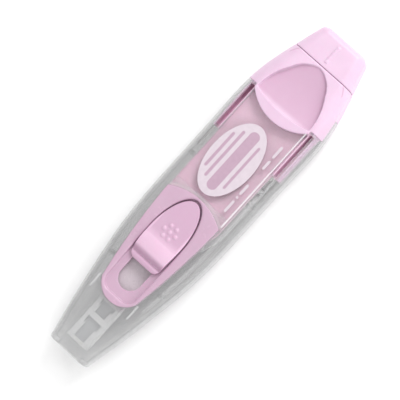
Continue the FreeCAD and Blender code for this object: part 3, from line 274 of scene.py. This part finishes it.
def case_marks(tree):
    """Two masks on the case. The first is 1 where it is cloudy, away from the polished label panel
    and the sides next to it. The second is a painted highlight: 1 on the rib beside the panel,
    stronger on its -Y side, and less on the ridge behind the bezel and on the short rib beside
    each side of the bezel's front, where white lines stand in for glints of light."""
    x, y, z = add(tree, "ShaderNodeSeparateXYZ", Vector=place(tree)).outputs
    aside = maths(tree, "ABSOLUTE", y)
    front = step(tree, x, PANEL_FRONT, 1.0, 0.0)
    beyond = step(tree, aside, PANEL_SIDE)
    cloudy = larger(tree, front, times(tree, beyond, step(tree, x, CLEARER_TO_THE_REAR, 1.0, 0.15)))
    # Painted highlight: white lines on the rib beside the panel, on the ridge and beside the bezel.
    panel_rib = patch(tree, aside, PANEL_RIB_ACROSS, 0.08, x, PANEL_RIB_ALONG, 0.5)
    panel_rib = times(tree, panel_rib, step(tree, y, (-1.0, 1.0), 1.0, 0.3))
    bowed = plus(tree, x, times(tree, times(tree, y, y), RIDGE_BOW))
    ridge = patch(tree, bowed, RIDGE_ALONG, 0.2, aside, RIDGE_ACROSS, 0.2)
    on_top = larger(tree, panel_rib, times(tree, ridge, 0.25))
    on_top = times(tree, on_top, step(tree, z, TOP_FACE))
    bezel_rib = patch(tree, aside, BEZEL_RIB_ACROSS, 0.1, x, BEZEL_RIB_ALONG, 0.3)
    bezel_rib = times(tree, bezel_rib, step(tree, z, BEZEL_RIB_LEVEL))
    return cloudy, larger(tree, on_top, times(tree, bezel_rib, 0.6))


def new_material(name):
    """An empty material with its node tree and output node."""
    material = bpy.data.materials.new(name)
    material.use_nodes = True
    tree = material.node_tree
    tree.nodes.clear()
    output = tree.nodes.new("ShaderNodeOutputMaterial")
    return material, tree, output


def principled(tree, output, **inputs):
    """Gives a material's surface one Principled shader."""
    shader = add(tree, "ShaderNodeBsdfPrincipled", **inputs)
    tree.links.new(shader.outputs[0], output.inputs["Surface"])


# Materials.


def moulded(name, colour, rough, grain, scatter, coat=0.0, pad=None, painted_light_colour=None):
    """Moulded plastic: slow colour drift, a fine grain, handling scratches and worn edges.
    pad is the colour of a rougher, darker pad where the mesh's matte attribute is 1; on the
    button's front step that darker colour is painted shade. The last colour is painted light
    where "raised" is 1: a painted highlight on the grip dots' tops and painted light in the
    tail's arm channels."""
    material, tree, output = new_material(name)
    base = linear(colour)
    drift = ranged(tree, noise(tree, 9 * MM, 2.0, seed=0.1), 0.3, 0.7)
    tone = blended(tree, drift, scaled(base, 0.965), scaled(base, 1.025))
    matte_and_shade = None
    if pad:
        matte_and_shade = add(tree, "ShaderNodeAttribute", {"attribute_name": "matte_and_shade"}).outputs["Fac"]
        pad_tone = blended(tree, drift, scaled(linear(pad), 0.97), linear(pad))
        tone = blended(tree, matte_and_shade, tone, pad_tone)
    # Painted light: where "raised" is 1 the colour is lifted to a lighter pink, a painted highlight
    # on the grip dots' tops and painted light in the tail's arm channels.
    if painted_light_colour:
        raised = add(tree, "ShaderNodeAttribute", {"attribute_name": "raised"}).outputs["Fac"]
        tone = blended(tree, raised, tone, linear(painted_light_colour))
    wear = edge_wear(tree)
    tone = blended(tree, times(tree, wear, 0.35), tone, scaled(base, 1.09))
    lines = scratches(tree, 0.2)
    smudge = noise(tree, 4.5 * MM, 3.0, seed=0.5)
    roughness = ranged(tree, smudge, 0.3, 0.7, rough * 0.82, rough * 1.22)
    roughness = plus(tree, roughness, times(tree, lines, 0.16))
    if matte_and_shade is not None:
        roughness = plus(tree, roughness, times(tree, matte_and_shade, 0.26))
        grain = plus(tree, times(tree, matte_and_shade, 0.5), grain)
    normal = bumped(tree, [
        (noise(tree, 2.6 * MM, 1.0, seed=0.4), 0.02 * MM, 0.2),
        (noise(tree, 0.11 * MM, 1.0, seed=0.9), 0.018 * MM, grain),
        (maths(tree, "SUBTRACT", 0.0, lines), 0.012 * MM, 0.5),
    ])
    principled(
        tree, output, Base_Color=tone, Roughness=roughness, Normal=normal, IOR=1.49,
        Subsurface_Weight=scatter, Subsurface_Radius=(1.0, 0.55, 0.75), Subsurface_Scale=1.1 * MM,
        Coat_Weight=coat, Coat_Roughness=0.12,
    )
    return material


def clear_plastic(name, tint, haze, haze_colour, rough=0.06, case=False, rear_colour=None):
    """Clear moulded plastic. It lets light through with a faint grey tint, it is hazier where it is
    rubbed, and it reflects more at a glancing angle. The case has its own cloudy places and white
    lines of painted highlight beside its label panel and bezel, and the tape head another colour
    behind its fences."""
    material, tree, output = new_material(name)
    cloud_colour = linear(haze_colour)
    if case:
        cloudy, rib_highlights = case_marks(tree)
        haze = times(tree, haze, cloudy)
        # Painted highlight: the case's rib and ridge lines are made hazier and white.
        haze = plus(tree, haze, times(tree, rib_highlights, 0.45))
        cloud_colour = blended(tree, rib_highlights, cloud_colour, PAINTED_HIGHLIGHT_WHITE)
    if rear_colour:
        along = add(tree, "ShaderNodeSeparateXYZ", Vector=place(tree)).outputs[0]
        behind = step(tree, along, HEAD_REAR)
        cloud_colour = blended(tree, behind, cloud_colour, linear(rear_colour))
    lines = scratches(tree, 0.6)
    rubbed = ranged(tree, noise(tree, 7 * MM, 3.0, seed=0.25), 0.42, 0.75)
    normal = bumped(tree, [
        (noise(tree, 5 * MM, 1.0, seed=0.15), 0.03 * MM, 0.14),
        (noise(tree, 0.5 * MM, 2.0, seed=0.35), 0.004 * MM, 0.16),
        (maths(tree, "SUBTRACT", 0.0, lines), 0.01 * MM, 0.5),
    ])
    tone = blended(tree, rubbed, linear(tint), scaled(linear(tint), 0.97))
    through = add(tree, "ShaderNodeBsdfTransparent", Color=tone)
    cloud = add(tree, "ShaderNodeBsdfDiffuse", Color=cloud_colour, Normal=normal)
    gloss = add(tree, "ShaderNodeBsdfGlossy", Color=(1.0, 1.0, 1.0, 1.0), Normal=normal)
    roughness = ranged(tree, noise(tree, 3 * MM, 3.0, seed=0.8), 0.3, 0.7, rough * 0.7, rough * 1.6)
    roughness = plus(tree, roughness, times(tree, lines, 0.2))
    put(tree, gloss.inputs["Roughness"], roughness)
    worn = plus(tree, times(tree, rubbed, 0.025), times(tree, lines, 0.10))
    facing = add(tree, "ShaderNodeLayerWeight", Blend=0.5, Normal=normal).outputs["Facing"]
    grazing = maths(tree, "POWER", facing, 4.0)
    hazy = plus(tree, worn, plus(tree, haze, times(tree, grazing, 0.25)))
    body = add(tree, "ShaderNodeMixShader", Fac=hazy)
    tree.links.new(through.outputs[0], body.inputs[1])
    tree.links.new(cloud.outputs[0], body.inputs[2])
    shine = plus(tree, times(tree, grazing, 0.55), 0.045)
    whole = add(tree, "ShaderNodeMixShader", Fac=shine)
    tree.links.new(body.outputs[0], whole.inputs[1])
    tree.links.new(gloss.outputs[0], whole.inputs[2])
    tree.links.new(whole.outputs[0], output.inputs["Surface"])
    return material


def ink(name, colour):
    """Printed ink: slightly uneven cover, a fine rosette of dots and a dry surface."""
    material, tree, output = new_material(name)
    base = linear(colour)
    cover = noise(tree, 1.4 * MM, 3.0, seed=0.2)
    dots = cells(tree, 0.16 * MM)
    uneven = times(tree, ranged(tree, cover, 0.35, 0.65), ranged(tree, dots, 0.1, 0.6))
    tone = blended(tree, uneven, base, scaled(base, 0.93))
    roughness = ranged(tree, cover, 0.3, 0.7, 0.42, 0.6)
    normal = bumped(tree, [(dots, 0.006 * MM, 0.2), (cover, 0.01 * MM, 0.2)])
    principled(tree, output, Base_Color=tone, Roughness=roughness, Normal=normal)
    return material


def wound(name, colour, line_colour, centre, rough):
    """Film wound on a reel: thin rings round the reel's axis, each layer a little different."""
    material, tree, output = new_material(name)
    where = place(tree, centre=(centre[0], centre[1], 0))
    wobble = noise(tree, 3 * MM, 2.0, seed=0.3)
    rings = add(
        tree, "ShaderNodeTexWave", {"wave_type": "RINGS", "rings_direction": "Z"},
        Vector=where, Scale=1 / (0.9 * MM), Distortion=0.6, Detail=2.0,
    ).outputs["Fac"]
    share = times(tree, ranged(tree, rings, 0.15, 0.5, 1.0, 0.0), 0.45)
    tone = blended(tree, share, linear(colour), linear(line_colour))
    stained = ranged(tree, wobble, 0.4, 0.7, 0.0, 0.25)
    tone = blended(tree, stained, tone, scaled(linear(colour), 0.9))
    normal = bumped(tree, [(rings, 0.03 * MM, 0.4), (noise(tree, 0.2 * MM, 2.0), 0.01 * MM, 0.3)])
    roughness = ranged(tree, wobble, 0.3, 0.7, rough * 0.85, rough * 1.2)
    principled(
        tree, output, Base_Color=tone, Roughness=roughness, Normal=normal,
        Subsurface_Weight=0.15, Subsurface_Radius=(1.0, 0.9, 0.85), Subsurface_Scale=0.4 * MM,
    )
    return material


def film(name, colour, rough):
    """A strand of tape: a dry coat with faint cross lines and pinholes."""
    material, tree, output = new_material(name)
    base = linear(colour)
    across = noise(tree, 0.8 * MM, 2.0, (1.0, 0.1, 0.1), 0.4)
    specks = ranged(tree, cells(tree, 0.5 * MM), 0.03, 0.09, 1.0, 0.0)
    tone = blended(tree, ranged(tree, across, 0.35, 0.7), base, scaled(base, 0.93))
    tone = blended(tree, times(tree, specks, 0.4), tone, scaled(base, 0.7))
    roughness = ranged(tree, across, 0.3, 0.7, rough * 0.85, rough * 1.2)
    fine = noise(tree, 0.1 * MM, 2.0)
    normal = bumped(tree, [(across, 0.02 * MM, 0.35), (fine, 0.008 * MM, 0.35)])
    principled(tree, output, Base_Color=tone, Roughness=roughness, Normal=normal)
    return material


def steel(name):
    """A drawn steel pin, with fine lines along it."""
    material, tree, output = new_material(name)
    lines = noise(tree, 0.06 * MM, 2.0, (1.0, 0.04, 1.0), 0.3)
    spots = noise(tree, 0.7 * MM, 3.0, seed=0.5)
    dull = ranged(tree, spots, 0.4, 0.7)
    tone = blended(tree, dull, linear("#C9CBCE"), linear("#A5A7AB"))
    roughness = ranged(tree, lines, 0.3, 0.7, 0.2, 0.38)
    normal = bumped(tree, [(lines, 0.005 * MM, 0.4)])
    principled(tree, output, Base_Color=tone, Metallic=1.0, Roughness=roughness, Normal=normal)
    return material


def rubber(name, colour, rough, crumb):
    """Rubber or vinyl: dry, with pores and a bloom of dust in its hollows."""
    material, tree, output = new_material(name)
    base = linear(colour)
    pores = cells(tree, crumb)
    bloom = noise(tree, 2.2 * MM, 4.0, seed=0.6)
    tone = blended(tree, ranged(tree, bloom, 0.35, 0.7), base, scaled(base, 0.86))
    tone = blended(tree, times(tree, edge_wear(tree), 0.4), tone, scaled(base, 0.8))
    roughness = ranged(tree, bloom, 0.3, 0.7, rough * 0.88, rough * 1.12)
    normal = bumped(tree, [(pores, 0.03 * MM, 0.35), (bloom, 0.05 * MM, 0.2)])
    principled(
        tree, output, Base_Color=tone, Roughness=roughness, Normal=normal,
        Subsurface_Weight=0.1, Subsurface_Radius=(1.0, 0.8, 0.7), Subsurface_Scale=0.8 * MM,
    )
    return material


def table_top(name):
    """The white table, with a barely visible drift."""
    material, tree, output = new_material(name)
    drift = noise(tree, 60 * MM, 3.0)
    tone = blended(tree, ranged(tree, drift, 0.3, 0.7), TABLE_DIM, TABLE_BRIGHT)
    normal = bumped(tree, [(noise(tree, 0.6 * MM, 2.0), 0.02 * MM, 0.1)])
    roughness = ranged(tree, drift, 0.3, 0.7, 0.6, 0.7)
    principled(
        tree, output, Base_Color=tone, Roughness=roughness, Normal=normal, Specular_IOR_Level=0.2,
    )
    return material


def middle(node):
    """The middle of a CAD node's box."""
    low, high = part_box(node)
    return (low + high) / 2


def make_materials():
    return {
        "clear_case": clear_plastic(
            "clear_case", "#F7F7F7", haze=0.14, haze_colour="#CDCDCE", case=True,
        ),
        "head": clear_plastic(
            "head", "#F2F2F3", haze=0.85, haze_colour="#FCFCFC", rough=0.22,
            rear_colour="#D4C8CF",
        ),
        "frosted": clear_plastic(
            "frosted", "#F2F2F3", haze=0.6, haze_colour="#EFEFF0", rough=0.22,
        ),
        # The bezel's darker pink is painted shade and the button's lighter pink is painted light.
        "bezel_shaded_pink": moulded(
            "bezel_shaded_pink", BEZEL_SHADED_PINK, rough=0.24, grain=0.06, scatter=0.2, coat=0.2,
        ),
        "button_lit_pink": moulded(
            "button_lit_pink", BUTTON_LIT_PINK, rough=0.24, grain=0.06, scatter=0.2, coat=0.2,
            pad=PAD_AND_SHADE_PINK, painted_light_colour=BUTTON_LIT_PINK,
        ),
        "tail_pink": moulded(
            "tail_pink", TAIL_PINK, rough=0.34, grain=0.12, scatter=0.2,
            pad=PAD_AND_SHADE_PINK, painted_light_colour=CHANNEL_LIT_PINK,
        ),
        "cassette_pink": moulded(
            "cassette_pink", CASSETTE_PINK, rough=0.36, grain=0.16, scatter=0.15,
        ),
        "white_gear": moulded("white_gear", "#EDEDEA", rough=0.42, grain=0.2, scatter=0.1),
        "print": ink("print", PRINT_PALE),
        "print_mark": ink("print_mark", PRINT_MARK),
        "supply_tape": wound(
            "supply_tape", "#F6F6F3", "#C3C7CE", middle("supply_tape"), rough=0.5,
        ),
        "takeup_tape": wound(
            "takeup_tape", "#E1E3E6", "#B3B9C2", middle("takeup_tape"), rough=0.3,
        ),
        "tape_white": film("tape_white", "#F7F7F4", rough=0.55),
        "carrier": film("carrier", "#C9CACC", rough=0.25),
        "ring": rubber("ring", "#3C3C42", rough=0.6, crumb=0.2 * MM),
        "eraser": rubber("eraser", "#F2F0EC", rough=0.6, crumb=0.3 * MM),
        "roller": rubber("roller", "#E4DFE0", rough=0.5, crumb=0.16 * MM),
        "steel": steel("steel"),
    }


# Pieces.


def shade_smooth(mesh):
    for polygon in mesh.polygons:
        polygon.use_smooth = True


def welded_copy(node):
    """A closed mesh of a CAD node, with the doubled points at its face borders joined."""
    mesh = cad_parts[node].data.copy()
    work = bmesh.new()
    work.from_mesh(mesh)
    bmesh.ops.remove_doubles(work, verts=work.verts, dist=0.0005 * MM)
    work.to_mesh(mesh)
    work.free()
    mesh.materials.clear()
    if "custom_normal" in mesh.attributes:
        mesh.attributes.remove(mesh.attributes["custom_normal"])
    return mesh


def new_piece(name, mesh, material, body):
    """A visible piece in the scene, with its material, that rides on a body."""
    mesh.materials.append(material)
    piece = bpy.data.objects.new(name, mesh)
    bpy.context.scene.collection.objects.link(piece)
    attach(piece, body)
    return piece


def softened(node, body, material, voxel, rounds, marks=None, shape=None):
    """Stands for a CAD node: the same form with every edge eased, as a mould leaves it.
    marks are functions of a point in millimetres, one for each attribute that the material reads.
    shape gives a point's height after fine modelling. It and the voxel are in millimetres too."""
    rough = bpy.data.objects.new(f"{node}_rough", welded_copy(node))
    bpy.context.scene.collection.objects.link(rough)
    remesh = rough.modifiers.new("remesh", "REMESH")
    remesh.mode = "VOXEL"
    remesh.voxel_size = voxel * MM
    remesh.use_smooth_shade = True
    easing = rough.modifiers.new("easing", "SMOOTH")
    easing.factor = 0.5
    easing.iterations = rounds
    bpy.context.view_layer.update()
    final = rough.evaluated_get(bpy.context.evaluated_depsgraph_get())
    mesh = bpy.data.meshes.new_from_object(final)
    bpy.data.objects.remove(rough)
    mesh.name = f"{node}_moulded"
    if shape:
        for vertex in mesh.vertices:
            vertex.co.z = shape(*(vertex.co / MM)) * MM
    shade_smooth(mesh)
    for name, mark in (marks or {}).items():
        values = [mark(*(vertex.co / MM)) for vertex in mesh.vertices]
        mesh.attributes.new(name, "FLOAT", "POINT").data.foreach_set("value", values)
    piece = new_piece(f"{node}_moulded", mesh, material, body)
    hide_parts(node)


def eased(value, low, high):
    """From 0 at low to 1 at high, with soft ends."""
    share = min(1.0, max(0.0, (value - low) / (high - low)))
    return share * share * (3 - 2 * share)


def thumb_rest(x, y, z):
    """1 in the thumb rest's hollow."""
    off = abs(math.hypot(x - REST_X, z - REST_Z) - REST_RADIUS)
    inside = z > 13.5 and x < 54.6 and abs(y) < 11.2
    return (1 - eased(off, 0.05, 0.2)) * eased(x, 35.2, 37.6) if inside else 0.0


def lit_arm_channel(x, y, z):
    """1 in the channels along the tail's arms, where a lighter pink is painted light against the
    shade in them.
    """
    inner, outer = CHANNEL_SIDES
    return 1.0 if x < CHANNEL_END and inner < abs(y) < outer and z > CHANNEL_FLOOR else 0.0


def pad_level(x):
    """Height of the button's slope behind its raised band."""
    return PAD_TOP - (x - PAD_START) * PAD_FALL


def thumb_pad_and_step_shade(x, y, z):
    """1 on the button's slope behind the raised band, and on the low front step before it, where
    the darker pad colour is painted shade.
    """
    top = eased(z, pad_level(x) - 0.6, pad_level(x) - 0.35)
    slope = eased(x, -21.0, -17.5) * (1 - eased(abs(y), 5.3, 6.0)) * top
    # Painted shade: the darker pad colour on the low front step and the groove behind it.
    front = (1 - eased(x, -26.2, -24.9)) * (1 - eased(abs(y), 5.7, 6.2)) * eased(z, 15.0, 15.3)
    return max(slope, front)


def dot_centres():
    """The middles of the grip dots: one dot, and six round it."""
    turns = [math.radians(30 + 60 * index) for index in range(6)]
    ring = [(DOT_X + DOT_REACH * math.cos(turn), DOT_REACH * math.sin(turn)) for turn in turns]
    return [(DOT_X, 0.0)] + ring


DOTS = dot_centres()


def dot_share(x, y):
    """1 in the middle of a grip dot, falling to 0 at its edge."""
    near = min(math.hypot(x - dot_x, y - dot_y) for dot_x, dot_y in DOTS)
    return max(0.0, 1 - (near / DOT_RADIUS) ** 2)


def button_shape(x, y, z):
    """Fine modelling of the button: even grip dots on the slope, and a groove before the band."""
    if z > pad_level(x) - 0.3 and x > -19.6:
        share = dot_share(x, y)
        return max(z, pad_level(x) + DOT_RISE * share) if share > 0 else z
    if z > 15.3 and abs(y) < 6.1:
        groove = math.exp(-((x - GROOVE_X) / GROOVE_WIDTH) ** 2)
        return z - GROOVE_DEPTH * groove * (1 - eased(abs(y), 5.4, 6.1))
    return z


def grip_dot_highlights(x, y, z):
    """1 on top of the button's grip dots, where a lighter pink is painted highlight."""
    return 0.45 * eased(dot_share(x, y), 0.1, 0.6) if z > pad_level(x) - 0.2 else 0.0


def bar(name, x_low, x_high, y_low, y_high, radius, z, material):
    """A flat printed bar with rounded corners, lying at level z. All sizes are in millimetres."""
    steps = 8
    centres = [
        (x_high - radius, y_high - radius, 0), (x_low + radius, y_high - radius, 90),
        (x_low + radius, y_low + radius, 180), (x_high - radius, y_low + radius, 270),
    ]
    outline = []
    for x, y, start in centres:
        for index in range(steps + 1):
            turn = math.radians(start + 90 * index / steps)
            outline.append((x + radius * math.cos(turn), y + radius * math.sin(turn)))
    work = bmesh.new()
    face = work.faces.new([work.verts.new((x * MM, y * MM, z * MM)) for x, y in outline])
    raised = bmesh.ops.extrude_face_region(work, geom=[face])
    top = [item for item in raised["geom"] if isinstance(item, bmesh.types.BMVert)]
    bmesh.ops.translate(work, verts=top, vec=(0, 0, PRINT_THICKNESS * MM))
    bmesh.ops.recalc_face_normals(work, faces=work.faces)
    mesh = bpy.data.meshes.new(name)
    work.to_mesh(mesh)
    work.free()
    new_piece(name, mesh, material, "case")


def make_print(materials):
    """A plain sign on the oval: lines of writing, one of them under a broad stripe of tape.
    A row of plain dashes lies below the oval."""
    panel, oval = (corner.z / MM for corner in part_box("label_badge"))
    for name, sizes in OVAL_BARS.items():
        bar(name, *sizes, oval, materials["print_mark"])
    for number, (start, end) in enumerate(DASHES, start=1):
        name = f"print_dash_{number}"
        bar(name, start, end, *DASH_ACROSS, DASH_RADIUS, panel, materials["print"])


def make_pieces(materials):
    cad = {
        "shell_lower": "clear_case", "shell_upper": "clear_case", "label_badge": "print",
        "eraser_holder": "tail_pink", "eraser": "eraser", "carriage_base": "frosted",
        "carriage_cover": "cassette_pink", "tape_head": "head", "tip_pin": "steel",
        "tape_feed": "tape_white", "tape_return": "carrier", "supply_spool": "white_gear",
        "supply_disc": "frosted", "supply_tape": "supply_tape", "supply_gear": "white_gear",
        "clutch_ring": "ring", "takeup_spool": "white_gear", "takeup_disc": "frosted",
        "takeup_tape": "takeup_tape", "takeup_gear": "white_gear", "idler_gear": "white_gear",
        "tip_roller": "roller",
    }
    for node, material in cad.items():
        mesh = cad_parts[node].data
        mesh.materials.clear()
        mesh.materials.append(materials[material])
        shade_smooth(mesh)
        mesh.set_sharp_from_angle(angle=math.radians(SHARP_ANGLE))
    softened(
        "slider_bezel", "case", materials["bezel_shaded_pink"], voxel=0.16, rounds=4,
    )
    softened(
        "thumb_button", "cassette", materials["button_lit_pink"], voxel=0.12, rounds=6,
        marks={"matte_and_shade": thumb_pad_and_step_shade, "raised": grip_dot_highlights}, shape=button_shape,
    )
    softened(
        "tail_housing", "case", materials["tail_pink"], voxel=0.23, rounds=2,
        marks={"matte_and_shade": thumb_rest, "raised": lit_arm_channel},
    )
    softened("end_cap", "cap", materials["tail_pink"], voxel=0.2, rounds=2)
    make_print(materials)


# Table, light and camera.


def view_axes():
    """The camera's right and up directions, and the direction it looks from."""
    back = Vector((0.0, -math.sin(CAMERA_TILT), math.cos(CAMERA_TILT)))
    across = Vector((0.0, math.cos(CAMERA_TILT), math.sin(CAMERA_TILT)))
    along = Vector((1.0, 0.0, 0.0))
    right = math.cos(CAMERA_ROLL) * along - math.sin(CAMERA_ROLL) * across
    up = math.sin(CAMERA_ROLL) * along + math.cos(CAMERA_ROLL) * across
    return right, up, back


def make_camera():
    right, up, back = view_axes()
    data = bpy.data.cameras.new("camera")
    data.lens = CAMERA_LENS
    data.sensor_width = 36
    data.clip_start = 0.05
    data.clip_end = 20
    camera = bpy.data.objects.new("camera", data)
    bpy.context.scene.collection.objects.link(camera)
    turn = Matrix((right, up, back)).transposed().to_4x4()
    camera.matrix_world = Matrix.Translation(CAMERA_AIM + back * CAMERA_DISTANCE) @ turn
    bpy.context.scene.camera = camera


def area_light(name, position, width, height, power):
    """A rectangular lamp that points at the middle of the pen's underside."""
    data = bpy.data.lights.new(name, "AREA")
    data.shape = "RECTANGLE"
    data.size = width
    data.size_y = height
    data.energy = power
    light = bpy.data.objects.new(name, data)
    bpy.context.scene.collection.objects.link(light)
    light.location = position
    light.rotation_euler = (-position).to_track_quat("-Z", "Y").to_euler()


def make_table():
    work = bmesh.new()
    bmesh.ops.create_grid(work, x_segments=8, y_segments=8, size=TABLE_HALF_WIDTH)
    mesh = bpy.data.meshes.new("table")
    work.to_mesh(mesh)
    work.free()
    mesh.materials.append(table_top("table"))
    table = bpy.data.objects.new("table", mesh)
    bpy.context.scene.collection.objects.link(table)
    table.location.z = -0.02 * MM


def make_studio():
    world = bpy.data.worlds.new("studio")
    world.use_nodes = True
    background = world.node_tree.nodes["Background"]
    background.inputs["Color"].default_value = (1.0, 1.0, 1.0, 1.0)
    background.inputs["Strength"].default_value = WORLD_STRENGTH
    bpy.context.scene.world = world
    right, up, back = view_axes()
    for name, (rightward, upward, nearer, width, height, power) in LAMPS.items():
        position = rightward * right + upward * up + nearer * back
        area_light(name, position, width, height, power)
    bpy.context.scene.view_settings.view_transform = "Standard"


materials = make_materials()
make_pieces(materials)
make_camera()
make_table()
make_studio()
